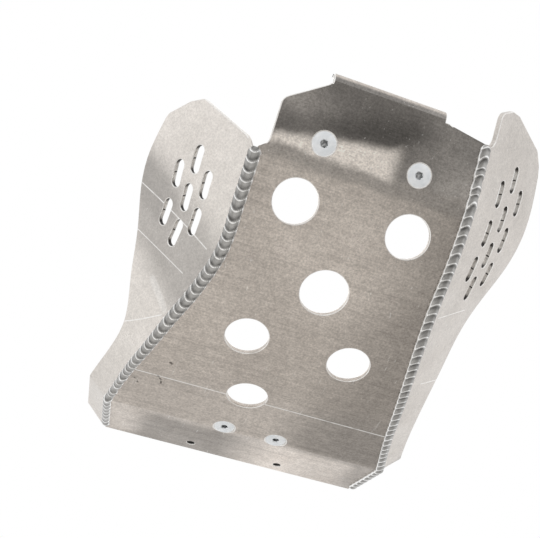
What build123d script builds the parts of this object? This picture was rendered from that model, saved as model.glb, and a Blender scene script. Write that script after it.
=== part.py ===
"""Motorcycle skid plate: a rolled centre sheet with two flared wings welded to its edges."""
from math import cos, degrees, radians, sin
import os

from build123d import *

# Frame: X across, Y to the back of the motorcycle, Z up, millimetres.
# The origin is midway between the rear screws, on the inner face of the sheet.

# sheet and folds of the centre plate
sheet = 4.0
roll_radius = 285.0
roll_angle = 43.0
upper_run = 52.0
flange_radius = 8.0
flange_angle = 80.0
flange_run = 6.0
flange_half = 43.0
rear_run = 51.6
lip_radius = 14.0
lip_angle = 8.6
lip_run = 58.4
left_free_half = 73.5
left_chamfer_drop = 20.0

# round access holes of the centre plate: run from the end of the roll and offset from the middle
hole_radius = 16.5
middle_hole_radius = 18.0
drain_hole_radius = 16.2
front_hole_run = -180.3
front_hole_offset = 43.0
middle_hole_run = -122.0
back_hole_run = -68.0
back_hole_offset = 40.8
drain_hole_run = -4.5
drain_hole_offset = -19.5
lip_hole_radius = 3.4
lip_hole_run = 97.3
lip_hole_offset = 40.1

# countersunk socket screws
screw_radius = 4.0
screw_head_radius = 8.7
screw_length = 20.0
socket_across = 5.0
socket_depth = 3.0
front_screw_run = -224.6
front_screw_offset = 36.3
rear_screw_offset = 22.8
rear_screw_run = 48.2
front_screw_sink = 0.2
rear_screw_sink = 0.6

# welded edges: run along the plate and half width of the seam on each side
seam_runs = (-213.0, -170.0, -132.0, -98.0, -64.0, -27.0, 0.0, rear_run)
left_seam_halves = (81.0, 80.7, 80.7, 88.2, 98.8, 108.2, 114.3, 122.0)
right_seam_halves = (80.6, 81.4, 82.0, 85.7, 91.5, 99.0, 105.1, 120.0)
lip_half = 115.3
left_seam_start = -208.0
right_seam_start = -260.4
right_top_half = 77.2

# wings: flare out of the plate's normal in degrees and height up the sheet at each seam run
left_flares = (47.0, 45.5, 43.5, 42.0, 41.0, 39.0, 39.5, 46.0)
right_flares = (47.0, 45.5, 43.5, 43.0, 43.5, 47.0, 49.0, 49.0)
left_heights = (84.0, 93.0, 92.5, 74.5, 52.5, 30.5, 24.5, 24.5)
right_heights = (107.5, 100.5, 86.0, 65.0, 52.0, 36.5, 30.5, 25.5)
lip_flare = 47.0
lip_height = 25.0
left_nose = ((-236.0, 80.6, 47.0, 80.0),)
right_nose = ((-296.0, 75.0, 47.5, 96.0), (-255.0, 77.6, 47.5, 105.0))

# waste cut from the front of each wing: run along the plate and height up the sheet
left_trim = ((-204.0, -20.0), (-204.0, 0.0), (-214.0, 8.0), (-231.5, 54.5), (-227.0, 66.0), (-214.5, 83.0),
             (-204.0, 87.5), (-204.0, 140.0), (-280.0, 140.0), (-280.0, -20.0))
right_trim = ((-261.0, -20.0), (-261.0, 9.0), (-287.0, 8.0), (-293.0, 24.0), (-293.0, 36.0),
              (-278.5, 86.5), (-268.0, 98.0), (-254.0, 104.5), (-254.0, 160.0), (-340.0, 160.0),
              (-340.0, -20.0))
trim_radius = 7.0

# cooling slots of the wings: run along the plate and height up the sheet
slot_length = 21.0
slot_width = 8.0
left_slots = ((-185.0, 45.0), (-167.5, 59.5), (-168.5, 31.0), (-152.0, 45.5),
              (-130.5, 60.5), (-137.5, 31.0), (-120.0, 42.5))
right_slots = ((-248.0, 58.5), (-233.0, 40.0), (-233.0, 77.0), (-216.5, 57.5), (-200.5, 38.5),
               (-199.0, 72.0), (-182.0, 54.5), (-168.0, 36.5), (-163.0, 69.0), (-149.0, 50.0))

# weld beads
bead_half_width = 5.0
bead_half_height = 3.1
bead_corners = 6
bead_tilt = 22.0
bead_sink = 0.3
root_gap = 1.2
ripple_pitch = 7.0
ripple_crest = 0.62
ripple_valley = 0.84

# cuts reach this far, clear of every edge
reach = 140.0

roll_run = roll_radius * radians(roll_angle)
fold_y = rear_run - rear_screw_run
roll_end_y = fold_y - rear_run
top_run = -roll_run - upper_run
end_run = rear_run + lip_run
screw_spots = ((front_screw_run, -front_screw_offset, front_screw_sink),
               (front_screw_run, front_screw_offset, front_screw_sink),
               (rear_screw_run, -rear_screw_offset, rear_screw_sink),
               (rear_screw_run, rear_screw_offset, rear_screw_sink))


def station(run):
    """Point on the outer face and slope of the plate in degrees at a run from the end of the roll."""
    if run > rear_run:
        back = run - rear_run
        return fold_y + back * cos(radians(lip_angle)), -sheet + back * sin(radians(lip_angle)), -lip_angle
    if run >= 0:
        return roll_end_y + run, -sheet, 0.0
    turn = min(-run / roll_radius, radians(roll_angle))
    straight = max(-run - roll_run, 0.0)
    y = roll_end_y - roll_radius * sin(turn) - straight * cos(turn)
    z = -sheet + roll_radius * (1 - cos(turn)) + straight * sin(turn)
    return y, z, degrees(turn)


def face_plane(run, offset):
    """Plane on the outer face, normal outward, its second axis running up to the front."""
    y, z, slope = station(run)
    tilt = radians(slope)
    return Plane(origin=(offset, y, z), x_dir=(1, 0, 0), z_dir=(0, -sin(tilt), -cos(tilt)))


def section_plane(run):
    """Plane across the plate, its second axis along the inward normal."""
    y, z, slope = station(run)
    tilt = radians(slope)
    return Plane(origin=(0, y, z), x_dir=(1, 0, 0), z_dir=(0, -cos(tilt), sin(tilt)))


def between(run, runs, values):
    """Value at a run, straight between the two nearest listed runs."""
    for i in range(len(runs) - 1):
        if run <= runs[i + 1] or i == len(runs) - 2:
            share = (run - runs[i]) / (runs[i + 1] - runs[i])
            return values[i] + share * (values[i + 1] - values[i])


def wing_corners(side, half, flare, height):
    """Four corners of the wing sheet in a section plane, its inner foot on the plate's inner corner."""
    lean = radians(flare)
    foot = (half - root_gap, sheet)
    toe = (foot[0] + sheet * cos(lean), sheet - sheet * sin(lean))
    rise = (height * sin(lean), height * cos(lean))
    ring = (toe, (toe[0] + rise[0], toe[1] + rise[1]), (foot[0] + rise[0], foot[1] + rise[1]), foot)
    return [(side * x, n) for x, n in ring]


def wing_plane(side, run, height, halves, flares):
    """Plane on the outer face of a wing at a run and height, normal outward, first axis along the run."""
    lean = radians(between(run, seam_runs, flares))
    half = between(run, seam_runs, halves) - root_gap + sheet * cos(lean)
    spot = section_plane(run)
    x = side * (half + height * sin(lean))
    n = sheet - sheet * sin(lean) + height * cos(lean)
    centre = spot.from_local_coords(Vector(x, n, 0))
    out = spot.from_local_coords(Vector(x + side * cos(lean), n - sin(lean), 0)) - centre
    return Plane(origin=centre, x_dir=spot.z_dir, z_dir=out)


# centre plate: thick folded profile, cut to the seams in plan
with BuildPart() as center_plate:
    with BuildSketch(Plane.YZ) as profile:
        with BuildLine() as fold:
            end_y, end_z, end_slope = station(end_run)
            lip_trim = lip_radius * radians(lip_angle) / 2
            near_y, near_z, near_slope = station(rear_run + lip_trim)
            lip_line = Line((end_y, end_z), (near_y, near_z))
            lip_bend = RadiusArc(lip_line @ 1, (fold_y - lip_trim, -sheet), lip_radius)
            rear_line = Line(lip_bend @ 1, (roll_end_y, -sheet))
            roll = JernArc(rear_line @ 1, (-1, 0), roll_radius, -roll_angle)
            upper_line = Line(roll @ 1, station(top_run)[:2])
            offset(amount=sheet, side=Side.RIGHT)
        make_face()
    extrude(amount=reach, both=True)
    with BuildSketch(Plane.XY) as plan:
        with BuildLine() as edge:
            depths = [station(run)[0] for run in seam_runs]
            left_edge = [(root_gap - half, y) for half, y in zip(left_seam_halves, depths)]
            right_edge = [(half - root_gap, y) for half, y in zip(right_seam_halves, depths)]
            left_seam = Spline(*left_edge[1:])
            left_front = Line(left_edge[1], left_edge[0])
            left_free = Line(left_edge[0], (left_edge[0][0], station(top_run)[0] - sheet))
            front = Line(left_free @ 1, (right_top_half - root_gap, station(top_run)[0] - sheet))
            right_free = Line(front @ 1, (right_top_half - root_gap, station(right_seam_start)[0]))
            right_front = Line(right_free @ 1, right_edge[0])
            right_upper = Line(right_edge[0], right_edge[1])
            right_seam = Spline(*right_edge[1:])
            right_lip = Line(right_seam @ 1, (lip_half - root_gap, end_y + sheet))
            back = Line(right_lip @ 1, (root_gap - lip_half, end_y + sheet))
            left_lip = Line(back @ 1, left_seam @ 1)
        make_face()
    extrude(amount=2 * reach, both=True, mode=Mode.INTERSECT)

    # rolled back flange along the middle of the top edge
    with BuildSketch(Plane.YZ) as flange:
        with BuildLine() as turn:
            bend = JernArc(upper_line @ 1, upper_line % 1, flange_radius, -flange_angle)
            stub = Line(bend @ 1, bend @ 1 + (bend % 1) * flange_run)
            offset(amount=sheet, side=Side.RIGHT)
        make_face()
    extrude(amount=flange_half, both=True)

    # top corners: long chamfer and free edge on the left, slight slope on the right
    with BuildSketch(face_plane(top_run, 0)) as corners:
        with BuildLine() as left_corner:
            step = top_run - left_seam_start
            FilletPolyline((-flange_half, 0), (-left_free_half, -left_chamfer_drop),
                           (-left_free_half, -upper_run), (-left_seam_halves[0], step), (-reach, step),
                           (-reach, reach), (-flange_half, reach), radius=trim_radius, close=True)
        make_face()
        with BuildLine() as right_corner:
            step = top_run - right_seam_start
            FilletPolyline((flange_half, 0), (right_top_half, step), (reach, step), (reach, reach),
                           (flange_half, reach), radius=trim_radius, close=True)
        make_face()
    extrude(amount=3 * sheet, both=True, mode=Mode.SUBTRACT)

    # access holes
    for run, offset_x, radius in ((front_hole_run, -front_hole_offset, hole_radius),
                                  (front_hole_run, front_hole_offset, hole_radius),
                                  (middle_hole_run, 0, middle_hole_radius),
                                  (back_hole_run, -back_hole_offset, hole_radius),
                                  (back_hole_run, back_hole_offset, hole_radius),
                                  (drain_hole_run, drain_hole_offset, drain_hole_radius),
                                  (lip_hole_run, -lip_hole_offset, lip_hole_radius),
                                  (lip_hole_run, lip_hole_offset, lip_hole_radius)):
        with BuildSketch(face_plane(run, offset_x)):
            Circle(radius)
        extrude(amount=3 * sheet, both=True, mode=Mode.SUBTRACT)

    # countersunk screw holes, cut right through the sheet
    for run, offset_x, sink in screw_spots:
        with BuildSketch(face_plane(run, offset_x)):
            Circle(screw_head_radius + sink)
        extrude(amount=-1.5 * sheet, taper=45, mode=Mode.SUBTRACT)
center_plate.part.label = "center_plate"
rear_seat = center_plate.faces().filter_by(Axis.Z).sort_by(Axis.Z)[-1]


def wing_edges(side, rows):
    """Foot and rim points of the outer face of a wing at each listed run, half width, flare and height."""
    foot = []
    rim = []
    for run, half, flare, height in rows:
        toe, top = wing_corners(side, half, flare, height)[:2]
        foot.append(section_plane(run).from_local_coords(Vector(*toe)))
        rim.append(section_plane(run).from_local_coords(Vector(*top)))
    return foot, rim


def wing_sheet(side, nose, halves, flares, heights, trim, slots):
    """One wing: sheet ruled along the seam, its tail folded in along the lip, front trimmed and slotted."""
    rows = list(nose) + list(zip(seam_runs, halves, flares, heights))
    tail = (rows[-1], (end_run, lip_half, lip_flare, lip_height))
    with BuildLine() as main_edges:
        foot, rim = wing_edges(side, rows)
        seam = Spline(*foot)
        crest = Spline(*rim)
    with BuildLine() as tail_edges:
        foot, rim = wing_edges(side, tail)
        tail_seam = Line(*foot)
        tail_crest = Line(*rim)
    with BuildPart() as wing:
        thicken(Face.make_surface_from_curves(seam, crest), amount=-side * sheet)
        thicken(Face.make_surface_from_curves(tail_seam, tail_crest), amount=-side * sheet)
        front_face = wing_plane(side, seam_runs[0], 0, halves, flares)
        with BuildSketch(front_face):
            with BuildLine():
                outline = [(seam_runs[0] - run, -side * height) for run, height in trim]
                FilletPolyline(*outline, radius=trim_radius, close=True)
            make_face()
        extrude(amount=10 * sheet, both=True, mode=Mode.SUBTRACT)
        for run, height in slots:
            with BuildSketch(wing_plane(side, run, height, halves, flares)):
                SlotOverall(slot_length, slot_width)
            extrude(amount=2 * sheet, both=True, mode=Mode.SUBTRACT)
        add(center_plate.part, mode=Mode.SUBTRACT)
        extrude(rear_seat, amount=sheet, mode=Mode.SUBTRACT)
    return wing.part


left_wing = wing_sheet(-1, left_nose, left_seam_halves, left_flares, left_heights,
                       left_trim, left_slots)
left_wing.label = "left_wing"
right_wing = wing_sheet(1, right_nose, right_seam_halves, right_flares, right_heights,
                        right_trim, right_slots)
right_wing.label = "right_wing"


def bead_section(path, share, side, size):
    """Plane across a bead, turned to face out of the corner, and its half width and half height."""
    along = path % share
    inward = Vector(1, 0, 0).cross(along).normalized()
    tilt = radians(bead_tilt)
    across = Vector(side * cos(tilt), 0, 0) + inward * sin(tilt)
    plane = Plane(origin=path @ share, x_dir=across, z_dir=along)
    return plane, bead_half_width * size, bead_half_height * size


def weld_bead(side, paths, wing):
    """Rippled bead along the seam and on along the lip, fitted to the plate and the wing."""
    with BuildPart() as bead:
        for path in paths:
            count = round(path.length / ripple_pitch)
            for step in range(2 * count + 1):
                crest = step % 2
                share = min((step // 2 + crest * ripple_crest) / count, 1.0)
                size = 1.0 if crest else ripple_valley
                plane, half_width, half_height = bead_section(path, share, side, size)
                turns = [radians(360 * corner / bead_corners) for corner in range(bead_corners)]
                with BuildSketch(plane):
                    ring = [(half_width * cos(turn), half_height * sin(turn)) for turn in turns]
                    Polygon(*ring, align=None)
            loft(ruled=True)
        add(center_plate.part, mode=Mode.SUBTRACT)
        add(wing, mode=Mode.SUBTRACT)
    return bead.part


def seam_paths(side, first, halves):
    """Centre line of a bead: curved along the seam, straight along the lip."""
    rows = [first] + list(zip(seam_runs, halves))[1:]
    spots = [section_plane(run).from_local_coords(Vector(side * half, bead_sink)) for run, half in rows]
    last = section_plane(end_run - bead_half_width).from_local_coords(Vector(side * lip_half, bead_sink))
    with BuildLine() as seam:
        Spline(*spots)
    with BuildLine() as tail:
        Line(spots[-1], last)
    return seam.edges()[0], tail.edges()[0]


left_paths = seam_paths(-1, (left_seam_start, left_seam_halves[0]), left_seam_halves)
left_weld = weld_bead(-1, left_paths, left_wing)
left_weld.label = "left_weld"
right_paths = seam_paths(1, (right_seam_start, right_top_half), right_seam_halves)
right_weld = weld_bead(1, right_paths, right_wing)
right_weld.label = "right_weld"

with BuildPart() as screws:
    for run, offset_x, sink in screw_spots:
        seat = face_plane(run, offset_x)
        with BuildSketch(seat.offset(-sink)):
            Circle(screw_head_radius)
        extrude(amount=screw_radius - screw_head_radius, taper=45)
        with BuildSketch(seat.offset(-sink)):
            Circle(screw_radius)
        extrude(amount=-screw_length)
        with BuildSketch(seat.offset(-sink)):
            RegularPolygon(socket_across / 2, 6, major_radius=False)
        extrude(amount=-socket_depth, mode=Mode.SUBTRACT)
screws.part.label = "screws"

os.makedirs("parts", exist_ok=True)
export_step(center_plate.part, "parts/center_plate.step")
export_step(left_wing, "parts/left_wing.step")
export_step(right_wing, "parts/right_wing.step")
export_step(left_weld, "parts/left_weld.step")
export_step(right_weld, "parts/right_weld.step")
export_step(screws.part, "parts/screws.step")
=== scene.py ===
"""Looks of the motorcycle skid plate: mill finish sheet, rippled welds and zinc plated screws."""

from math import atan2, cos, exp, pi, radians, sin, tan

import bmesh
import bpy
from mathutils import Matrix, Vector
from mathutils.kdtree import KDTree


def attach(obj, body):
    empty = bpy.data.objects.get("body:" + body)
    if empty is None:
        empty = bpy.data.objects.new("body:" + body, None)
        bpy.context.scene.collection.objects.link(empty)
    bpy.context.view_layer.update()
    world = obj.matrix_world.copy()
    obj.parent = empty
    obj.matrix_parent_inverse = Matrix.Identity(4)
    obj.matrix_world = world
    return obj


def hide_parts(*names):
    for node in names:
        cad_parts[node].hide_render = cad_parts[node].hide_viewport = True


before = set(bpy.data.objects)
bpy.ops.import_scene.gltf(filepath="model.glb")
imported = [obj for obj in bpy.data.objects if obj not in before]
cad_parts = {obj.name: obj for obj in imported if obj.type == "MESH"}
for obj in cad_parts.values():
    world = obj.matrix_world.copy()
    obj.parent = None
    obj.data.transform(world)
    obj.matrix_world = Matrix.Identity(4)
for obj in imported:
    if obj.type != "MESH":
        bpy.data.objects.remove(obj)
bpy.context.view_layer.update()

# sizes of the sheets in metres, as in the part's source; a row is a run, a half width and a flare in degrees
SHEET = 0.004
ROLL_RADIUS = 0.285
ROLL_ANGLE = radians(43.0)
ROLL_RUN = ROLL_RADIUS * ROLL_ANGLE
REAR_RUN = 0.0516
FOLD_Y = 0.0034
ROLL_END_Y = FOLD_Y - REAR_RUN
LIP_ANGLE = radians(8.6)
LIP_RUN = 0.0584
LIP_HALF = 0.1153
LIP_FLARE = 47.0
LEFT_ROWS = ((-0.236, 0.0806, 47.0), (-0.213, 0.0810, 47.0), (-0.170, 0.0807, 45.5), (-0.132, 0.0807, 43.5),
             (-0.098, 0.0882, 42.0), (-0.064, 0.0988, 41.0), (-0.027, 0.1082, 39.0), (0.0, 0.1143, 39.5),
             (REAR_RUN, 0.1220, 46.0))
RIGHT_ROWS = ((-0.296, 0.0750, 47.5), (-0.255, 0.0776, 47.5), (-0.213, 0.0806, 47.0), (-0.170, 0.0814, 45.5),
              (-0.132, 0.0820, 43.5), (-0.098, 0.0857, 43.0), (-0.064, 0.0915, 43.5), (-0.027, 0.0990, 47.0),
              (0.0, 0.1051, 49.0), (REAR_RUN, 0.1200, 49.0))
ROOT_GAP = 0.0012

# sizes of the beads and screws in metres, as in the part's source; a spot is a run, an offset and a sink
LEFT_WELD_START = -0.208
RIGHT_WELD_START = -0.2604
RIGHT_TOP_HALF = 0.0772
BEAD_HALF_WIDTH = 0.005
BEAD_HALF_HEIGHT = 0.0031
BEAD_TILT = radians(22.0)
BEAD_SINK = 0.0003
RIPPLE_PITCH = 0.007
HEAD_RADIUS = 0.0087
HEAD_DEPTH = 0.0047
SCREW_LENGTH = 0.020
THREAD_RADIUS = 0.004
SOCKET_ACROSS = 0.005
SOCKET_DEPTH = 0.003
SCREW_SPOTS = ((-0.2246, -0.0363, 0.0002), (-0.2246, 0.0363, 0.0002),
               (0.0482, -0.0228, 0.0006), (0.0482, 0.0228, 0.0006))

# finer sizes of the sheets, for their looks alone
RIM = 0.0006
FOLD_BEND = 0.00105
WELD_REACH = 0.0065
SLOT_REACH = 0.0125
HOLE_REACH = 0.006
SHARP_EDGE = radians(40)
SHEET_CREASE = radians(32)
WALL_LEAN = 0.5
FACE_LEAN = 0.965
SPIKE = 1.3
PROBE_STEP = 0.0008
SEAM_STEP = 0.0005
SAME_SPOT = 1e-6
SPECK_EDGE = 1e-5
FACE_FINISH, RIM_FINISH, WALL_FINISH = 0, 1, 2

# finer sizes of the beads: a drift is a size, a pace along the seam and a start
BEAD_SIDES = 24
BEAD_LEAST = 0.90
BEAD_SWELL = 0.12
BEAD_END_START = 0.0008
BEAD_END_RUN = 0.004
RIPPLE_BOW = 0.0034
RIPPLE_RISE = 0.2
RIPPLE_FALL = 0.85
RIPPLE_DRIFTS = ((0.0011, 61, 0.0), (0.0007, 173, 1.3))
LEFT_LUMP = 0.245
RIGHT_LUMP = 0.03
LUMP_SPAN = 0.022
LUMP_DRIFT, LUMP_DRIFT_PACE = 0.0016, 347
LUMP_LOSS, LUMP_LOSS_PACE = 0.07, 521
SLIM, SLIM_START, SLIM_SPAN = 0.24, 0.35, 0.45
# painted highlight along the bead's toes, where its section nears its sides
TOE_HIGHLIGHT_START, TOE_HIGHLIGHT_SPAN = 0.84, 0.13

# finer sizes of the screws
SCREW_SIDES = 48
SCREW_CREASE = radians(28)
HEAD_EDGE = 0.00035
HEAD_EDGE_IN, HEAD_EDGE_DROP = 0.00008, 0.0001
NECK_OUT, NECK_TOP, NECK_END = 0.0004, 0.0002, 0.0008
TIP = 0.0007
SOCKET_MOUTH = 1.22
SOCKET_LEAD = 0.0006
SOCKET_CUTS = 7
SHANK_ROOT = 0.0033
THREAD_PITCH = 0.00125
THREAD_STEPS = 24
THREAD_CREST, THREAD_FOOT, THREAD_SINK = 0.0001, 0.00055, 0.0001
THREAD_START, THREAD_END = 0.0022, 0.0016
FIRST_TURN, NEXT_TURN = 0.4, 1.1


def station(run):
    """Point on the outer face of the plate and its slope, at a run from the end of the roll."""
    if run > REAR_RUN:
        back = run - REAR_RUN
        return FOLD_Y + back * cos(LIP_ANGLE), -SHEET + back * sin(LIP_ANGLE), -LIP_ANGLE
    if run >= 0:
        return ROLL_END_Y + run, -SHEET, 0.0
    turn = min(-run / ROLL_RADIUS, ROLL_ANGLE)
    straight = max(-run - ROLL_RUN, 0.0)
    y = ROLL_END_Y - ROLL_RADIUS * sin(turn) - straight * cos(turn)
    z = -SHEET + ROLL_RADIUS * (1 - cos(turn)) + straight * sin(turn)
    return y, z, turn


def on_plate(run, x, rise=0.0):
    """Point at a run and offset, raised along the inward normal of the plate."""
    y, z, slope = station(run)
    return Vector((x, y + rise * sin(slope), z + rise * cos(slope)))


def run_and_rise(spot):
    """Run along the plate and height above its outer face of a point in space."""
    if spot.y > FOLD_Y:
        y, z = spot.y - FOLD_Y, spot.z + SHEET
        along = y * cos(LIP_ANGLE) + z * sin(LIP_ANGLE)
        return REAR_RUN + along, z * cos(LIP_ANGLE) - y * sin(LIP_ANGLE)
    if spot.y > ROLL_END_Y:
        return spot.y - ROLL_END_Y, spot.z + SHEET
    y, z = ROLL_END_Y - spot.y, ROLL_RADIUS - SHEET - spot.z
    turn = min(atan2(y, z), ROLL_ANGLE)
    straight = y * cos(turn) - z * sin(turn)
    return -ROLL_RADIUS * turn - straight, ROLL_RADIUS - y * sin(turn) - z * cos(turn)


def smooth(rows, run, column):
    """Value of a column at a run, on a smooth curve through the rows."""
    i = 0
    while i < len(rows) - 2 and run > rows[i + 1][0]:
        i += 1

    def slope(k):
        a, b = rows[max(k - 1, 0)], rows[min(k + 1, len(rows) - 1)]
        return (b[column] - a[column]) / (b[0] - a[0])

    span = rows[i + 1][0] - rows[i][0]
    t = (run - rows[i][0]) / span
    if t < 0 or t > 1:
        end = 0 if t < 0 else len(rows) - 1
        return rows[end][column] + (run - rows[end][0]) * slope(end)
    a, b = rows[i][column], rows[i + 1][column]
    tangent = span * (slope(i) * t * (1 - t) ** 2 - slope(i + 1) * (1 - t) * t * t)
    return a * (1 + 2 * t) * (1 - t) ** 2 + b * t * t * (3 - 2 * t) + tangent


def wing_half(side, run, rise):
    """Distance of a wing's outer face from the middle at a run and height above the plate's outer face."""
    rows = LEFT_ROWS if side < 0 else RIGHT_ROWS
    if run > REAR_RUN:
        share = (run - REAR_RUN) / LIP_RUN
        half = rows[-1][1] + share * (LIP_HALF - rows[-1][1])
        lean = radians(rows[-1][2] + share * (LIP_FLARE - rows[-1][2]))
    else:
        half = smooth(rows, run, 1)
        lean = radians(smooth(rows, run, 2))
    toe = SHEET - SHEET * sin(lean)
    return half - ROOT_GAP + SHEET * cos(lean) + (rise - toe) * tan(lean)


def on_wing(side, run, rise):
    """Point on the outer face of a wing at a run and height above the plate's outer face."""
    return on_plate(run, side * wing_half(side, run, rise), rise)


def plate_normal(spot):
    """Outward normal of the plate at a point."""
    run = run_and_rise(spot)[0]
    if abs(run - REAR_RUN) < FOLD_BEND:
        slope = -LIP_ANGLE * (run - REAR_RUN + FOLD_BEND) / (2 * FOLD_BEND)
    else:
        slope = station(run)[2]
    return Vector((0, -sin(slope), -cos(slope)))


def wing_normal(side):
    """Function for the outward normal of a wing at a point."""
    steps = [Vector((PROBE_STEP, 0, 0)), Vector((0, PROBE_STEP, 0)), Vector((0, 0, PROBE_STEP))]

    def clearance(spot):
        return side * spot.x - wing_half(side, *run_and_rise(spot))

    def normal(spot):
        return Vector([clearance(spot + step) - clearance(spot - step) for step in steps]).normalized()

    return normal


# materials


class Finish:
    """A node material with short ways to add and join its nodes."""

    def __init__(self, name):
        self.material = bpy.data.materials.new(name)
        self.material.use_nodes = True
        self.tree = self.material.node_tree
        self.shader = self.tree.nodes["Principled BSDF"]
        self.place = self.node("ShaderNodeTexCoord").outputs["Object"]

    def node(self, kind, **settings):
        made = self.tree.nodes.new(kind)
        for key, value in settings.items():
            setattr(made, key, value)
        return made

    def feed(self, socket, value):
        """Links an output to a socket, or sets the socket to a constant."""
        if isinstance(value, bpy.types.NodeSocket):
            self.tree.links.new(value, socket)
        else:
            socket.default_value = value

    def math(self, operation, a, b=0.0, c=0.0):
        made = self.node("ShaderNodeMath", operation=operation)
        for socket, value in zip(made.inputs, (a, b, c)):
            self.feed(socket, value)
        return made.outputs[0]

    def vector(self, operation, a, b=(0, 0, 0), out=0):
        made = self.node("ShaderNodeVectorMath", operation=operation)
        self.feed(made.inputs[0], a)
        self.feed(made.inputs[1], b)
        return made.outputs[out]

    def stretch(self, scale, turn=(0, 0, 0)):
        """Object coordinates, scaled along each axis and turned."""
        made = self.node("ShaderNodeMapping")
        self.feed(made.inputs["Vector"], self.place)
        made.inputs["Scale"].default_value = scale
        made.inputs["Rotation"].default_value = turn
        return made.outputs[0]

    def noise(self, scale, detail=3.0, rough=0.5, place=None):
        made = self.node("ShaderNodeTexNoise")
        self.feed(made.inputs["Vector"], place or self.place)
        made.inputs["Scale"].default_value = scale
        made.inputs["Detail"].default_value = detail
        made.inputs["Roughness"].default_value = rough
        return made.outputs["Fac"]

    def ramp(self, value, low, high, start=0.0, end=1.0):
        """Smooth change from start to end, as a value goes from low to high."""
        made = self.node("ShaderNodeMapRange", interpolation_type="SMOOTHSTEP")
        for name, number in (("From Min", low), ("From Max", high), ("To Min", start), ("To Max", end)):
            made.inputs[name].default_value = number
        self.feed(made.inputs["Value"], value)
        return made.outputs["Result"]

    def cloud(self, scale, detail=3.0, start=0.0, end=1.0):
        """Cloudy pattern between two values."""
        return self.ramp(self.noise(scale, detail), 0.3, 0.7, start, end)

    def mix(self, share, a, b):
        made = self.node("ShaderNodeMix", data_type="RGBA")
        self.feed(made.inputs["Factor"], share)
        self.feed(made.inputs["A"], a)
        self.feed(made.inputs["B"], b)
        return made.outputs["Result"]

    def coat(self, tint, mask, share, colour):
        """Tint with a share of another colour under a mask."""
        return self.mix(self.math("MULTIPLY", mask, share), tint, colour)

    def shade(self, tint, factor):
        return self.vector("MULTIPLY", tint, factor)

    def toned(self, tint, mask, change):
        """Tint made paler or darker by a share under a mask."""
        return self.shade(tint, self.math("MULTIPLY_ADD", mask, change, 1.0))

    def bump(self, height, strength, under=None):
        made = self.node("ShaderNodeBump")
        made.inputs["Strength"].default_value = strength
        made.inputs["Distance"].default_value = GRAIN_DEPTH
        self.feed(made.inputs["Height"], height)
        if under is not None:
            self.feed(made.inputs["Normal"], under)
        return made.outputs["Normal"]

    def along(self, start, way):
        """Distance from a point along a direction."""
        away = self.vector("SUBTRACT", self.place, tuple(start))
        return self.vector("DOT_PRODUCT", away, tuple(way), 1)

    def line(self, start, end, width):
        """Mask of a mark from one point to another: 1 along it, 0 away from it."""
        start, end = Vector(start), Vector(end)
        span = end - start
        away = self.vector("SUBTRACT", self.place, tuple(start))
        share = self.vector("DOT_PRODUCT", away, tuple(span), 1)
        share = self.math("MULTIPLY", share, 1 / span.length_squared)
        share = self.math("MINIMUM", self.math("MAXIMUM", share, 0.0), 1.0)
        scaled = self.node("ShaderNodeVectorMath", operation="SCALE")
        scaled.inputs[0].default_value = tuple(span)
        self.feed(scaled.inputs["Scale"], share)
        gap = self.vector("LENGTH", self.vector("SUBTRACT", away, scaled.outputs[0]), out=1)
        return self.ramp(gap, width * LINE_CORE, width, 1.0, 0.0)

    def lines(self, marks):
        """Mask of several marks, each with a start, an end and a width."""
        return self.most([self.line(*mark) for mark in marks])

    def most(self, masks):
        """Mask where any of the masks is."""
        total = masks[0]
        for mask in masks[1:]:
            total = self.math("MAXIMUM", total, mask)
        return total

    def both(self, *masks):
        """Mask where all the masks are."""
        total = masks[0]
        for mask in masks[1:]:
            total = self.math("MULTIPLY", total, mask)
        return total

    def metal(self, tint, rough, normal=None):
        """Joins up the shader as bare metal."""
        self.feed(self.shader.inputs["Base Color"], tint)
        self.feed(self.shader.inputs["Roughness"], rough)
        self.shader.inputs["Metallic"].default_value = 1.0
        if normal is not None:
            self.feed(self.shader.inputs["Normal"], normal)
        return self.material


# tones of the sheets
PLATE_PALE = (0.645, 0.588, 0.535, 1)
PLATE_DARK = (0.565, 0.513, 0.466, 1)
# dark grey painted over the upper panel and in a band at the start of the roll, as painted dark reflection
UPPER_DARK_REFLECTION = (0.32, 0.304, 0.288, 1)
# pale colour of a painted reflection, a patch on the upper panel near the front screws
PATCH_REFLECTION = (0.97, 0.90, 0.83, 1)
# the left wing's tones are paler than the right wing's: painted light on the left wing
LEFT_PALE = (0.82, 0.775, 0.73, 1)
LEFT_DARK = (0.74, 0.70, 0.655, 1)
LEFT_SMEAR = (0.94, 0.92, 0.89, 1)
RIGHT_PALE = (0.67, 0.63, 0.59, 1)
RIGHT_DARK = (0.60, 0.565, 0.53, 1)
SCUFF = (0.94, 0.93, 0.91, 1)
BRIGHT_MARK = (0.96, 0.95, 0.93, 1)
STAIN = (0.09, 0.08, 0.07, 1)

# grain of the metal: its depth, the stretched scales of its patterns and how coarse it is on the sheets
GRAIN_DEPTH = 0.0002
GRAIN_SCALE = (60, 1500, 1500)
DRAWN_SCALE = (7, 240, 240)
SCUFF_SCALE, SCUFF_TURN = (520, 22, 520), (0.3, 0.2, 0.7)
PLATE_COARSE, WING_COARSE = 0.23, 0.13

# share of a mark's width that is full
LINE_CORE = 0.35

# upward share of the normal, from a face that looks level or up to one that looks down
FACING_DOWN = (0.1, -0.1)

# tones across the plate's underside, mostly painted shade and painted reflections: where each starts and
# where it is full, in metres, and how strong it is
# painted shade: the right of the underside darker, as the light falls there
RIGHT_SIDE, RIGHT_PAINTED_SHADE = (0.005, 0.080), -0.29
# painted shade: the right of the rear panel darker
REAR_START, REAR_END, REAR_SIDE, REAR_PAINTED_SHADE = (-0.070, -0.045), (0.006, -0.002), (0.005, 0.050), -0.18
LIP_START = (0.002, 0.014)
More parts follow.
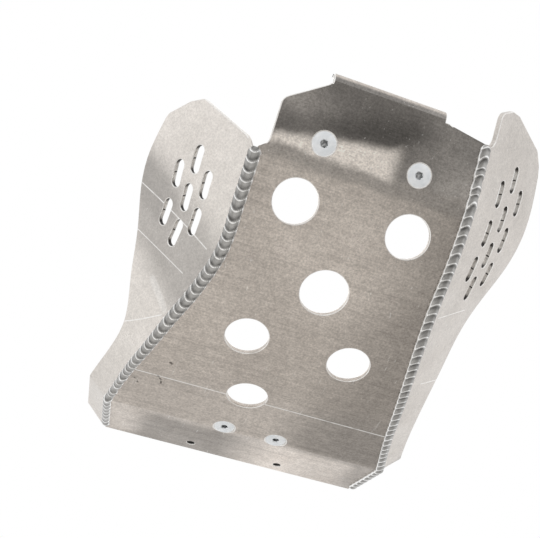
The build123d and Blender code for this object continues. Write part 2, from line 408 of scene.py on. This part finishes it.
# painted dark reflection at the left of the lip
LIP_REFLECTION_START, LIP_REFLECTION_END, LIP_DARK_REFLECTION = (-0.102, -0.078), (0.014, -0.022), -0.42
# painted pale reflection at the right of the lip
LIP_PALE_START, LIP_PALE_END, LIP_PALE_REFLECTION = (0.004, 0.045), (0.108, 0.085), 0.55
# a paler spot in the middle of the underside
MIDDLE_SPOT, MIDDLE_LIFT = (on_plate(-0.168, -0.025), on_plate(-0.148, 0.030), 0.055), 0.13

# tones of the upper panel, in the same way, by the climb above the roll: painted reflections and a painted
# shadow
OUTER_FACE = (0.0028, 0.0012)
WANDER_SCALE, WANDER = 38, 0.010
# painted dark reflection over the upper panel, which is also made smoother
PANEL_START, PANEL_SHARE, PANEL_SHINE = (-0.006, 0.006), 0.85, 0.07
# painted warm reflection low at the right of the upper panel
WARM_REFLECTION_SIDE, WARM_REFLECTION_TOP, WARM_REFLECTION = (0.040, 0.066), (0.036, 0.010), 0.5
# painted dark reflection high in the middle of the upper panel
DARK_REFLECTION_SPOT, DARK_REFLECTION = (on_plate(-0.264, -0.024), on_plate(-0.254, 0.004), 0.046), -0.33
# painted pale reflection at the left of the upper panel
PALE_REFLECTION_SPOT, PALE_REFLECTION = (on_plate(-0.250, -0.058), on_plate(-0.246, -0.050), 0.024), 0.25
# painted dark reflection in a band at the start of the roll
BAND_START, BAND_END, BAND_SHARE = (-0.013, -0.006), (0.003, -0.003), 0.5
# painted pale reflection as a patch on the upper panel, which is also made rougher
PATCH_RISE, PATCH_TOP = 0.22, 0.0217
PATCH_START, PATCH_EDGE, PATCH_SIDE = (-0.003, 0.004), (0.004, -0.005), (0.025, 0.010)
PATCH_SHARE, PATCH_DULL = 0.9, 0.22
SHADOW_START, SHADOW_END, SHADOW_SIDE, SHADOW = (-0.004, 0.007), (0.027, 0.008), (0.055, 0.015), -0.42


def scratch(side, start, end, width=0.0006, parts=4):
    """Mark over a wing from one run and height to another, in short lengths that follow its curve."""
    spots = []
    for part in range(parts + 1):
        share = part / parts
        run = start[0] + share * (end[0] - start[0])
        rise = start[1] + share * (end[1] - start[1])
        spots.append(on_wing(side, run, rise))
    return [(spots[i], spots[i + 1], width) for i in range(parts)]


# tones of the left wing, and the marks and stains of the sheets
LEFT_BAND, LEFT_BAND_DULL = scratch(-1, (-0.142, 0.076), (-0.102, 0.008), 0.047, 3), -0.36
LEFT_SIDE, LEFT_SIDE_DULL = scratch(-1, (-0.165, 0.084), (-0.138, 0.050), 0.024, 2), -0.16
LEFT_FOOT, LEFT_FOOT_DULL = (-0.075, 0.0), -0.10
LEFT_RUB, LEFT_RUB_SHARE = scratch(-1, (-0.076, 0.026), (-0.066, 0.007), 0.0045, 2), 0.35
LEFT_MARKS = (scratch(-1, (-0.142, 0.068), (-0.125, 0.009), 0.0007)
              + scratch(-1, (-0.100, 0.058), (-0.098, 0.013), 0.0005)
              + scratch(-1, (-0.026, 0.0235), (-0.061, 0.006)))
RIGHT_MARKS = (scratch(1, (-0.125, 0.010), (-0.125, 0.044))
               + scratch(1, (-0.057, 0.016), (-0.045, 0.046)))
BEND_LINE = [(on_plate(0.0, -0.1132), on_plate(0.0, 0.104), 0.0009)]
PLATE_STAINS = [(on_plate(0.000, -0.092), on_plate(0.004, -0.088), 0.0013),
                (on_plate(0.004, -0.088), on_plate(0.010, -0.087), 0.0011),
                (on_plate(0.011, -0.108), on_plate(0.018, -0.103), 0.0012),
                (on_plate(-0.020, -0.0865), on_plate(-0.0185, -0.085), 0.0017)]


def sheet_metal(name, pale, dark, coarse, marks=(), stains=(), skin=None):
    """Mill finish aluminium: cloudy tone, fine grain, bright thin marks and small dark stains."""
    f = Finish(name)
    cloud = f.noise(scale=11, detail=4, rough=0.6)
    sheen = f.noise(scale=26, rough=0.55)
    tint = f.mix(f.ramp(cloud, 0.3, 0.72), dark, pale)
    shine = f.ramp(sheen, 0.3, 0.7, start=0.27, end=0.40)
    if skin:
        tint, shine = skin(f, tint, shine)
    speck = f.noise(scale=620, rough=0.7)
    grain = f.noise(scale=1.0, rough=0.65, place=f.stretch(GRAIN_SCALE))
    scuff = f.noise(scale=1.0, detail=2, place=f.stretch(SCUFF_SCALE, SCUFF_TURN))
    tint = f.shade(tint, f.ramp(speck, 0.26, 0.76, start=1 - coarse, end=1 + 0.85 * coarse))
    tint = f.shade(tint, f.cloud(150, detail=2, start=1 - 0.25 * coarse, end=1 + 0.25 * coarse))
    tint = f.shade(tint, f.ramp(grain, 0.25, 0.75, start=1 - 0.4 * coarse, end=1 + 0.4 * coarse))
    tint = f.mix(f.ramp(scuff, 0.69, 0.76, end=0.4), tint, SCUFF)
    if marks:
        broken = f.ramp(f.noise(scale=160, detail=2), 0.3, 0.55, start=0.45, end=0.8)
        tint = f.mix(f.both(f.lines(marks), broken), tint, BRIGHT_MARK)
    if stains:
        broken = f.ramp(f.noise(scale=420, detail=2), 0.38, 0.58, end=0.85)
        tint = f.mix(f.both(f.lines(stains), broken), tint, STAIN)
    fine = f.bump(speck, strength=0.22)
    return f.metal(tint, shine, f.bump(grain, strength=0.10, under=fine))


def underside_tones(f, tint, across):
    """Underside of the plate: painted shade to the right and on the right of the rear panel, paler in the
    middle, and on its lip a painted dark reflection at the left and a painted pale reflection at the right.
    """
    facing = f.node("ShaderNodeNewGeometry").outputs["Normal"]
    below = f.ramp(f.vector("DOT_PRODUCT", facing, (0, 0, 1), 1), *FACING_DOWN)
    back = f.along((0, 0, 0), (0, 1, 0))
    lip = f.both(f.ramp(back, *LIP_START), below)
    rear = f.both(f.ramp(back, *REAR_START), f.ramp(back, *REAR_END), below)
    # painted shade on the right of the underside and of the rear panel
    tint = f.toned(tint, f.both(f.ramp(across, *RIGHT_SIDE), below), RIGHT_PAINTED_SHADE)
    tint = f.toned(tint, f.both(f.ramp(across, *REAR_SIDE), rear), REAR_PAINTED_SHADE)
    # painted dark reflection at the left of the lip, and painted pale reflection at its right
    dull = f.both(f.ramp(across, *LIP_REFLECTION_START), f.ramp(across, *LIP_REFLECTION_END), lip)
    tint = f.toned(tint, dull, LIP_DARK_REFLECTION)
    clear = f.both(f.ramp(across, *LIP_PALE_START), f.ramp(across, *LIP_PALE_END), lip)
    tint = f.toned(tint, clear, LIP_PALE_REFLECTION)
    return f.toned(tint, f.both(f.line(*MIDDLE_SPOT), below), MIDDLE_LIFT)


def upper_tones(f, tint, shine, across):
    """Upper panel of the plate: smooth, with a painted dark reflection over it, painted warm, dark and pale
    reflections in spots, a painted shadow, and a pale patch of painted reflection with a band of painted dark
    reflection below it.
    """
    start = on_plate(-ROLL_RUN, 0.0)
    wander = f.math("MULTIPLY", f.math("SUBTRACT", f.noise(WANDER_SCALE, detail=2), 0.5), WANDER)
    climb = f.math("ADD", f.along(start, (0, -cos(ROLL_ANGLE), sin(ROLL_ANGLE))), wander)
    outside = f.ramp(f.along(start, (0, sin(ROLL_ANGLE), cos(ROLL_ANGLE))), *OUTER_FACE)
    above = f.math("SUBTRACT", climb, f.math("MULTIPLY_ADD", across, PATCH_RISE, PATCH_TOP))
    panel = f.both(f.ramp(climb, *PANEL_START), outside)
    # painted dark reflection over the upper panel
    tint = f.coat(tint, panel, PANEL_SHARE, UPPER_DARK_REFLECTION)
    # painted warm reflection, then painted dark and pale reflections in spots
    tint = f.toned(tint, f.both(f.ramp(across, *WARM_REFLECTION_SIDE), f.ramp(climb, *WARM_REFLECTION_TOP), panel), WARM_REFLECTION)
    tint = f.toned(tint, f.both(f.line(*DARK_REFLECTION_SPOT), outside), DARK_REFLECTION)
    tint = f.toned(tint, f.both(f.line(*PALE_REFLECTION_SPOT), outside), PALE_REFLECTION)
    shadow = f.both(f.ramp(above, *SHADOW_START), f.ramp(above, *SHADOW_END), f.ramp(across, *SHADOW_SIDE))
    tint = f.toned(tint, f.both(shadow, outside), SHADOW)
    # painted dark reflection in a band at the start of the roll
    band = f.both(f.ramp(climb, *BAND_START), f.ramp(climb, *BAND_END), outside)
    tint = f.coat(tint, band, BAND_SHARE, UPPER_DARK_REFLECTION)
    # painted pale reflection as a patch near the front screws
    patch_area = f.both(f.ramp(climb, *PATCH_START), f.ramp(above, *PATCH_EDGE), f.ramp(across, *PATCH_SIDE))
    patch = f.both(patch_area, outside)
    tint = f.coat(tint, patch, PATCH_SHARE, PATCH_REFLECTION)
    shine = f.math("SUBTRACT", shine, f.math("MULTIPLY", panel, PANEL_SHINE))
    return tint, f.math("MULTIPLY_ADD", patch, PATCH_DULL, shine)


def plate_skin(f, tint, shine):
    """Tones of the plate: faint lines from the rolling mill, then those of its underside and upper panel,
    mostly painted shade and painted reflections.
    """
    across = f.along((0, 0, 0), (1, 0, 0))
    drawn = f.noise(scale=1.0, rough=0.6, place=f.stretch(DRAWN_SCALE))
    tint = f.shade(tint, f.ramp(drawn, 0.30, 0.52, start=0.88))
    return upper_tones(f, underside_tones(f, tint, across), shine, across)


def left_skin(f, tint, shine):
    """Duller band across the slots of the left wing, and a pale smear near its foot."""
    tint = f.toned(tint, f.lines(LEFT_BAND), LEFT_BAND_DULL)
    tint = f.toned(tint, f.lines(LEFT_SIDE), LEFT_SIDE_DULL)
    tint = f.toned(tint, f.ramp(f.along((0, 0, 0), (0, 1, 0)), *LEFT_FOOT), LEFT_FOOT_DULL)
    return f.coat(tint, f.lines(LEFT_RUB), LEFT_RUB_SHARE, LEFT_SMEAR), shine


def bright_rim():
    """Deburred cut edges, brighter than the faces: partly abraded metal, partly a painted highlight along the
    edges.
    """
    f = Finish("bright_rim")
    # the bright tone is partly a painted highlight along the cut edges
    dull, bright = (0.78, 0.755, 0.725, 1), (0.93, 0.92, 0.90, 1)
    return f.metal(f.mix(f.cloud(240), dull, bright), f.cloud(500, detail=2, start=0.22, end=0.36))


def slot_wall():
    """Cut walls of the slots: pale straight sides, painted shade in the round ends and the small holes, and a
    dark mark at the middle of each wall.
    """
    f = Finish("slot_wall")
    dull, pale, shade_and_mark = (0.44, 0.425, 0.405, 1), (0.66, 0.645, 0.62, 1), (0.055, 0.052, 0.05, 1)
    along = f.math("ABSOLUTE", f.node("ShaderNodeAttribute", attribute_name="along_slot").outputs["Fac"])
    # painted shade in the round ends and small holes, and a dark mark at the middle of each wall
    ends, middle_mark = f.ramp(along, 0.52, 0.80), f.ramp(along, 0.065, 0.035)
    return f.metal(f.mix(f.most([ends, middle_mark]), f.mix(f.cloud(330), dull, pale), shade_and_mark), 0.45)


def weld_metal():
    """Rippled weld, with painted highlights on its crests and toes and painted shade in its valleys."""
    f = Finish("weld_metal")
    valley_shade, slope = (0.115, 0.112, 0.109, 1), (0.38, 0.374, 0.363, 1)
    smoke, crest_highlight = (0.56, 0.55, 0.53, 1), (0.95, 0.945, 0.935, 1)
    height = f.node("ShaderNodeAttribute", attribute_name="ripple").outputs["Fac"]
    # painted shade in the ripples' valleys and painted highlights on their crests and the bead's toes, by the
    # ripple attribute
    tint = f.mix(f.ramp(height, 0.12, 0.65), valley_shade, slope)
    tint = f.coat(tint, f.cloud(220), 0.36, smoke)
    tint = f.mix(f.ramp(height, 0.85, 0.94), tint, crest_highlight)
    rough = f.cloud(300, detail=2, start=0.22, end=0.38)
    return f.metal(tint, rough, f.bump(f.noise(1500, detail=2), strength=0.12))


def socket_shade():
    """Inside of a screw's socket, darker: painted shade in the recess."""
    f = Finish("socket_shade")
    # painted shade inside the socket
    dull, pale = (0.26, 0.265, 0.27, 1), (0.62, 0.63, 0.64, 1)
    tint = f.mix(f.ramp(f.noise(700), 0.35, 0.65), dull, pale)
    return f.metal(tint, f.cloud(500, detail=2, start=0.35, end=0.6))


def zinc_plate():
    """Pale bluish zinc plating of the screws."""
    f = Finish("zinc_plate")
    dull, pale = (0.88, 0.905, 0.93, 1), (0.97, 0.985, 1.0, 1)
    rough = f.cloud(420, detail=2, start=0.52, end=0.66)
    return f.metal(f.mix(f.cloud(180), dull, pale), rough, f.bump(f.noise(900, detail=2), strength=0.10))


plate_finish = sheet_metal("plate_metal", PLATE_PALE, PLATE_DARK, PLATE_COARSE, BEND_LINE,
                           stains=PLATE_STAINS, skin=plate_skin)
left_finish = sheet_metal("left_wing_metal", LEFT_PALE, LEFT_DARK, WING_COARSE, LEFT_MARKS, skin=left_skin)
right_finish = sheet_metal("right_wing_metal", RIGHT_PALE, RIGHT_DARK, WING_COARSE, RIGHT_MARKS)
rim_finish = bright_rim()
wall_finish = slot_wall()
weld_finish = weld_metal()
zinc_finish = zinc_plate()
socket_finish = socket_shade()


# pieces


def smooth_mesh(bm, name):
    """Mesh made from a bmesh, with its faces shaded smooth."""
    mesh = bpy.data.meshes.new(name)
    bm.to_mesh(mesh)
    bm.free()
    for face in mesh.polygons:
        face.use_smooth = True
    return mesh


def settle(mesh, name, finishes, slot, *nodes):
    """Links a finished mesh as a piece of the part."""
    for finish in finishes:
        mesh.materials.append(finish)
    piece = bpy.data.objects.new(name, mesh)
    bpy.context.scene.collection.objects.link(piece)
    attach(piece, "root")
    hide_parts(*nodes)
    return piece


def tree_of(spots):
    """Search tree of some points."""
    tree = KDTree(len(spots))
    for number, spot in enumerate(spots):
        tree.insert(spot, number)
    tree.balance()
    return tree


def seam_path(side, rows, first):
    """Points along the middle of a bead, close together, and which way is inward there."""
    rows = [first] + [row for row in rows if row[0] > first[0]]
    tail = (REAR_RUN + LIP_RUN - BEAD_HALF_WIDTH, LIP_HALF)
    spots = []
    run = rows[0][0]
    while run < tail[0]:
        if run > REAR_RUN:
            half = rows[-1][1] + (run - REAR_RUN) / (tail[0] - REAR_RUN) * (tail[1] - rows[-1][1])
        else:
            half = smooth(rows, run, 1)
        slope = station(run)[2]
        spots.append((on_plate(run, side * half, BEAD_SINK), Vector((0, sin(slope), cos(slope)))))
        run += SEAM_STEP
    return spots


left_seam = seam_path(-1, LEFT_ROWS, (LEFT_WELD_START, LEFT_ROWS[1][1]))
right_seam = seam_path(1, RIGHT_ROWS, (RIGHT_WELD_START, RIGHT_TOP_HALF))
seam_tree = tree_of([spot for spot, _ in left_seam + right_seam])


def points_along(edges, step):
    """Points spaced along some edges."""
    spots = []
    for edge in edges:
        start, end = (vert.co for vert in edge.verts)
        parts = int((end - start).length / step) + 1
        spots += [start.lerp(end, part / parts) for part in range(parts + 1)]
    return spots


def free_edges(bm):
    """Sharp edges of a sheet that no bead covers."""
    free = []
    for edge in bm.edges:
        if len(edge.link_faces) == 2 and edge.calc_face_angle(0) > SHARP_EDGE:
            if min(seam_tree.find(vert.co)[2] for vert in edge.verts) > WELD_REACH:
                free.append(edge)
    return free


def round_off(bm, edges):
    """Rounds some edges of a sheet, and draws back the corners that this throws out too far."""
    edge_tree = tree_of(points_along(edges, RIM / 4))
    rims = bmesh.ops.bevel(bm, geom=edges, offset=RIM, offset_type="OFFSET", segments=2, profile=0.5,
                           affect="EDGES", material=-1, clamp_overlap=False)["faces"]
    for face in rims:
        face.material_index = RIM_FINISH
    for vert in {vert for face in rims for vert in face.verts}:
        near, _, gap = edge_tree.find(vert.co)
        if gap > SPIKE * RIM:
            vert.co = near + (vert.co - near) * (RIM / gap)
    bmesh.ops.dissolve_degenerate(bm, edges=bm.edges, dist=SPECK_EDGE)


def slot_groups(walls):
    """Groups of wall faces that close on themselves around a slot or a small hole, not around the sheet."""
    groups = []
    left = set(walls)
    while left:
        group = [left.pop()]
        for face in group:
            joined = {other for edge in face.edges for other in edge.link_faces} & left
            left -= joined
            group += joined
        spots = [vert.co for face in group for vert in face.verts]
        middle = sum(spots, Vector()) / len(spots)
        reach = max((spot - middle for spot in spots), key=lambda way: way.length)
        if reach.length < SLOT_REACH:
            groups.append((group, middle, reach))
    return groups


def finish_slots(bm, normal):
    """Gives the walls of slots and small holes their finish, and each corner its share along the slot."""
    walls = []
    for face in bm.faces:
        lean = abs(face.normal.dot(normal(face.calc_center_median())))
        if face.material_index == FACE_FINISH and lean < WALL_LEAN:
            walls.append(face)
    along_slot = bm.verts.layers.float.new("along_slot")
    for group, middle, reach in slot_groups(walls):
        for face in group:
            face.material_index = WALL_FINISH
            for vert in face.verts:
                share = (vert.co - middle).dot(reach) / reach.length_squared
                vert[along_slot] = share if reach.length > HOLE_REACH else 1.0


def shade_true(mesh, normal):
    """Turns the shading of a sheet's two faces to the normal of the bent sheet."""
    turned = [corner.vector.copy() for corner in mesh.corner_normals]
    for face in mesh.polygons:
        facing = face.normal.dot(normal(face.center))
        if abs(facing) > FACE_LEAN:
            for corner in face.loop_indices:
                spot = mesh.vertices[mesh.loops[corner].vertex_index].co
                turned[corner] = normal(spot) * (1 if facing > 0 else -1)
    mesh.normals_split_custom_set(turned)


def deburred(node, normal, finish, slot):
    """Sheet of a node with its free cut edges rounded off and its faces shaded true to the bent sheet."""
    bm = bmesh.new()
    bm.from_mesh(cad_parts[node].data)
    bmesh.ops.remove_doubles(bm, verts=bm.verts, dist=SAME_SPOT)
    bmesh.ops.dissolve_degenerate(bm, edges=bm.edges, dist=SPECK_EDGE)
    round_off(bm, free_edges(bm))
    finish_slots(bm, normal)
    mesh = smooth_mesh(bm, node + "_sheet")
    mesh.set_sharp_from_angle(angle=SHEET_CREASE)
    shade_true(mesh, normal)
    return settle(mesh, node + "_sheet", (finish, rim_finish, wall_finish), slot, node)


deburred("center_plate", plate_normal, plate_finish, "plate")
deburred("left_wing", wing_normal(-1), left_finish, "wings")
deburred("right_wing", wing_normal(1), right_finish, "wings")


def eased(share):
    """Share kept between 0 and 1, with a soft start and end."""
    share = min(max(share, 0.0), 1.0)
    return share * share * (3 - 2 * share)


def bead_axes(spots, i, side):
    """Middle of a bead at a point of its seam, its way across the seam and its way out of the corner."""
    middle, inward = spots[i]
    along = (spots[min(i + 1, len(spots) - 1)][0] - spots[max(i - 1, 0)][0]).normalized()
    inward = (inward - along * inward.dot(along)).normalized()
    outward = Vector((side, 0, 0))
    outward = (outward - along * outward.dot(along)).normalized()
    across = outward * cos(BEAD_TILT) + inward * sin(BEAD_TILT)
    away = outward * sin(BEAD_TILT) - inward * cos(BEAD_TILT)
    return middle, across, away


def ripple_phase(place, turn, bow, lump):
    """How far a point of a bead is through its ripple, at a length along the seam and an angle around it."""
    drift = sum(size * sin(place * pace + start) for size, pace, start in RIPPLE_DRIFTS)
    drift += lump * LUMP_DRIFT * sin(place * LUMP_DRIFT_PACE)
    phase = (place + drift - bow * RIPPLE_BOW * (1 - cos(turn) ** 2)) / RIPPLE_PITCH % 1.0
    return phase if bow > 0 else 1 - phase


def weld_bead(node, side, spots, bow, uneven):
    """Bead of overlapping ripples that bow along the seam, lumpy at one place and slimmer to the back."""
    places = [0.0]
    for (here, _), (there, _) in zip(spots, spots[1:]):
        places.append(places[-1] + (there - here).length)
    length = places[-1]
    bm = bmesh.new()
    bmesh.ops.create_grid(bm, x_segments=len(spots) - 1, y_segments=BEAD_SIDES, size=1)
    ripple = bm.verts.layers.float.new("ripple")
    for vert in bm.verts:
        i = round((vert.co.x + 1) / 2 * (len(spots) - 1))
        turn = pi * (vert.co.y + 1)
        place = places[i]
        lump = exp(-((place - uneven) / LUMP_SPAN) ** 2)
        phase = ripple_phase(place, turn, bow, lump)
        fallen = max(phase - RIPPLE_RISE, 0) / (1 - RIPPLE_RISE)
        raised = eased(phase / RIPPLE_RISE) * (1 - RIPPLE_FALL * fallen)
        ends = min(1.0, (min(place, length - place) + BEAD_END_START) / BEAD_END_RUN)
        full = ends ** 0.5 * (1 - LUMP_LOSS * lump * (1 + sin(place * LUMP_LOSS_PACE)))
        slim = SLIM * eased((place / length - SLIM_START) / SLIM_SPAN)
        scallop = (4 * phase * (1 - phase)) ** 0.5
        wide = BEAD_HALF_WIDTH * full * (1 - slim) * (BEAD_LEAST + BEAD_SWELL * scallop)
        high = BEAD_HALF_HEIGHT * full * (BEAD_LEAST + BEAD_SWELL * raised)
        # the ripple attribute carries the painted highlights on crests and toes and the painted shade in the
        # valleys
        toe = min(max((abs(cos(turn)) - TOE_HIGHLIGHT_START) / TOE_HIGHLIGHT_SPAN, 0.0), 1.0)
        vert[ripple] = 1 - (1 - max(raised, toe)) * (1 - slim)
        middle, across, away = bead_axes(spots, i, side)
        vert.co = middle + across * (wide * cos(turn)) + away * (high * sin(turn))
    bmesh.ops.remove_doubles(bm, verts=bm.verts, dist=SAME_SPOT)
    bmesh.ops.holes_fill(bm, edges=[edge for edge in bm.edges if edge.is_boundary], sides=0)
    bmesh.ops.recalc_face_normals(bm, faces=bm.faces)
    return settle(smooth_mesh(bm, node + "_bead"), node + "_bead", (weld_finish,), "welds", node)


weld_bead("left_weld", -1, left_seam, 1, LEFT_LUMP)
weld_bead("right_weld", 1, right_seam, -1, RIGHT_LUMP)


def ring(bm, radius, height, count=SCREW_SIDES):
    """Loop of edges about the screw's axis."""
    made = bmesh.ops.create_circle(bm, segments=count, radius=radius,
                                   matrix=Matrix.Translation((0, 0, height)))
    return list({edge for vert in made["verts"] for edge in vert.link_edges})


def cut_socket(bm, mouth):
    """Hex socket below a round mouth, led in by a short cone."""
    walls = []
    for height in (-SOCKET_LEAD, -SOCKET_DEPTH):
        sides = ring(bm, SOCKET_ACROSS / 2 / cos(radians(30)), height, 6)
        cut = bmesh.ops.subdivide_edges(bm, edges=sides, cuts=SOCKET_CUTS)
        walls.append([edge for edge in set(cut["geom_inner"] + cut["geom_split"] + sides)
                      if isinstance(edge, bmesh.types.BMEdge) and edge.is_valid])
    bmesh.ops.bridge_loops(bm, edges=mouth + walls[0])
    inside = bmesh.ops.bridge_loops(bm, edges=walls[0] + walls[1])["faces"]
    floor = bmesh.ops.holes_fill(bm, edges=walls[1], sides=0)["faces"]
    inside += bmesh.ops.poke(bm, faces=floor)["faces"]
    for face in inside:
        face.material_index = 1


def roll_thread(bm):
    """Thread spun down the shank from one section of its ridge."""
    foot = SHANK_ROOT - THREAD_SINK
    section = ((foot, THREAD_FOOT), (THREAD_RADIUS, THREAD_CREST),
               (THREAD_RADIUS, -THREAD_CREST), (foot, -THREAD_FOOT))
    first = -HEAD_DEPTH - THREAD_START
    turns = int((SCREW_LENGTH + first - THREAD_END) / THREAD_PITCH)
    steps = THREAD_STEPS * turns
    ridge = bm.faces.new([bm.verts.new((radius, 0, first + height)) for radius, height in section])
    bmesh.ops.spin(bm, geom=[ridge], cent=(0, 0, 0), axis=(0, 0, 1), angle=2 * pi * turns, steps=steps,
                   dvec=(0, 0, -THREAD_PITCH * turns / steps), use_merge=False)


def socket_screw():
    """Countersunk screw with a bare face, a hex socket and a rolled thread, its face at the origin."""
    bm = bmesh.new()
    mouth = ring(bm, SOCKET_ACROSS / 2 * SOCKET_MOUTH, 0.0)
    outline = ((HEAD_RADIUS - HEAD_EDGE, 0.0), (HEAD_RADIUS - HEAD_EDGE_IN, -HEAD_EDGE_DROP),
               (HEAD_RADIUS, -HEAD_EDGE), (SHANK_ROOT + NECK_OUT, -HEAD_DEPTH - NECK_TOP),
               (SHANK_ROOT, -HEAD_DEPTH - NECK_END), (SHANK_ROOT, TIP - SCREW_LENGTH),
               (SHANK_ROOT - TIP, -SCREW_LENGTH))
    last = mouth
    for radius, height in outline:
        nearer = ring(bm, radius, height)
        bmesh.ops.bridge_loops(bm, edges=last + nearer)
        last = nearer
    bmesh.ops.holes_fill(bm, edges=last, sides=0)
    cut_socket(bm, mouth)
    bmesh.ops.recalc_face_normals(bm, faces=bm.faces)
    roll_thread(bm)
    return bm


def screw_set():
    """The four screws, each turned its own way in its countersink."""
    one_mesh = bpy.data.meshes.new("screw")
    whole = bmesh.new()
    for number, (run, x, sink) in enumerate(SCREW_SPOTS):
        screw = socket_screw()
        seat = Matrix.Translation(on_plate(run, x, sink)) @ Matrix.Rotation(pi - station(run)[2], 4, "X")
        turn = Matrix.Rotation(FIRST_TURN + NEXT_TURN * number, 4, "Z")
        bmesh.ops.transform(screw, verts=screw.verts, matrix=seat @ turn)
        screw.to_mesh(one_mesh)
        screw.free()
        whole.from_mesh(one_mesh)
    bpy.data.meshes.remove(one_mesh)
    mesh = smooth_mesh(whole, "screw_set")
    mesh.set_sharp_from_angle(angle=SCREW_CREASE)
    return settle(mesh, "screw_set", (zinc_finish, socket_finish), "screws", "screws")


screw_set()


# studio

WHITE = (1, 1, 1, 1)
SOFT_WHITE, SOFT_LEVEL = (1.0, 0.985, 0.965, 1), 0.6
FLOOR_HEIGHT, FLOOR_HALF = -0.8, 6
FLOOR_DARK, FLOOR_PALE = (0.78, 0.775, 0.765, 1), (0.82, 0.815, 0.805, 1)
FLOOR_MIDDLE, FLOOR_FADE = (0.1, -0.5, 0), (1.4, 2.5)
LAMP_POWER = 5

# camera: pixels of the photograph, with its place in metres and its axes in the part's frame
PHOTO_WIDTH, PHOTO_HEIGHT = 540, 538
PHOTO_CENTRE_X, PHOTO_CENTRE_Y = 283.18, 264.26
PHOTO_FOCAL = 874.05
SENSOR_WIDTH = 36
CAMERA_PLACE = (-0.15507, -0.62068, -0.39424)
CAMERA_RIGHT = Vector((0.939035, -0.333106, 0.085174))
CAMERA_DOWN = Vector((0.285915, 0.618951, -0.731541))
CAMERA_AHEAD = Vector((0.190962, 0.711295, 0.676457))


def lamp(name, place, aim, size):
    """Soft rectangular lamp, aimed at a point."""
    data = bpy.data.lights.new(name, "AREA")
    data.shape = "RECTANGLE"
    data.size, data.size_y = size
    data.energy = LAMP_POWER
    made = bpy.data.objects.new(name, data)
    made.visible_camera = False
    made.location = place
    made.rotation_euler = (Vector(aim) - Vector(place)).to_track_quat("-Z", "Y").to_euler()
    bpy.context.scene.collection.objects.link(made)


def seen(nodes, links):
    """1 for what the camera, a reflection or a clear piece sees, 0 for light on the part."""
    path = nodes.new("ShaderNodeLightPath")
    total = path.outputs["Is Camera Ray"]
    for name in ("Is Glossy Ray", "Is Transmission Ray"):
        either = nodes.new("ShaderNodeMath")
        either.operation = "MAXIMUM"
        links.new(total, either.inputs[0])
        links.new(path.outputs[name], either.inputs[1])
        total = either.outputs[0]
    return total


def pale_floor():
    """Finish of the floor, which fades to white far from the part."""
    f = Finish("pale_floor")
    f.shader.inputs["Roughness"].default_value = 0.9
    f.feed(f.shader.inputs["Base Color"], f.mix(f.noise(3, detail=2), FLOOR_DARK, FLOOR_PALE))
    flat = f.vector("MULTIPLY", f.vector("SUBTRACT", f.place, FLOOR_MIDDLE), (1, 1, 0))
    away = f.ramp(f.vector("LENGTH", flat, out=1), *FLOOR_FADE)
    white = f.node("ShaderNodeEmission")
    white.inputs["Color"].default_value = WHITE
    blend = f.node("ShaderNodeMixShader")
    f.feed(blend.inputs["Fac"], f.math("MULTIPLY", away, seen(f.tree.nodes, f.tree.links)))
    f.feed(blend.inputs[1], f.shader.outputs[0])
    f.feed(blend.inputs[2], white.outputs[0])
    f.feed(f.tree.nodes["Material Output"].inputs["Surface"], blend.outputs[0])
    return f.material


def studio_floor():
    """Plain pale floor below the part."""
    mesh = bpy.data.meshes.new("floor")
    bm = bmesh.new()
    bmesh.ops.create_grid(bm, x_segments=1, y_segments=1, size=FLOOR_HALF,
                          matrix=Matrix.Translation((0, 0, FLOOR_HEIGHT)))
    bm.to_mesh(mesh)
    bm.free()
    mesh.materials.append(pale_floor())
    floor = bpy.data.objects.new("floor", mesh)
    bpy.context.scene.collection.objects.link(floor)


def studio_light():
    """White surroundings, softer where they light the part, and two soft lamps."""
    world = bpy.data.worlds.new("studio")
    bpy.context.scene.world = world
    world.use_nodes = True
    nodes, links = world.node_tree.nodes, world.node_tree.links
    nodes.clear()
    pick = nodes.new("ShaderNodeMixShader")
    out = nodes.new("ShaderNodeOutputWorld")
    links.new(seen(nodes, links), pick.inputs["Fac"])
    for place, (colour, level) in enumerate(((SOFT_WHITE, SOFT_LEVEL), (WHITE, 1.0)), start=1):
        around = nodes.new("ShaderNodeBackground")
        around.inputs["Color"].default_value = colour
        around.inputs["Strength"].default_value = level
        links.new(around.outputs[0], pick.inputs[place])
    links.new(pick.outputs[0], out.inputs["Surface"])
    lamp("floor_wash", (-0.45, -0.2, -0.25), (-0.45, -0.2, FLOOR_HEIGHT), (1.0, 1.9))
    lamp("back", (0.1, 0.9, 1.3), (0.0, 0.4, FLOOR_HEIGHT), (1.2, 1.2))


def photo_camera():
    """Camera from below and in front, at the photograph's viewing angle."""
    data = bpy.data.cameras.new("camera")
    data.sensor_width = SENSOR_WIDTH
    data.lens = SENSOR_WIDTH * PHOTO_FOCAL / PHOTO_WIDTH
    data.shift_x = (PHOTO_WIDTH / 2 - PHOTO_CENTRE_X) / PHOTO_WIDTH
    data.shift_y = (PHOTO_CENTRE_Y - PHOTO_HEIGHT / 2) / PHOTO_WIDTH
    turn = Matrix((CAMERA_RIGHT, -CAMERA_DOWN, -CAMERA_AHEAD)).transposed()
    camera = bpy.data.objects.new("camera", data)
    camera.matrix_world = Matrix.Translation(CAMERA_PLACE) @ turn.to_4x4()
    bpy.context.scene.collection.objects.link(camera)
    bpy.context.scene.camera = camera


studio_floor()
studio_light()
photo_camera()
bpy.context.scene.view_settings.view_transform = "Standard"
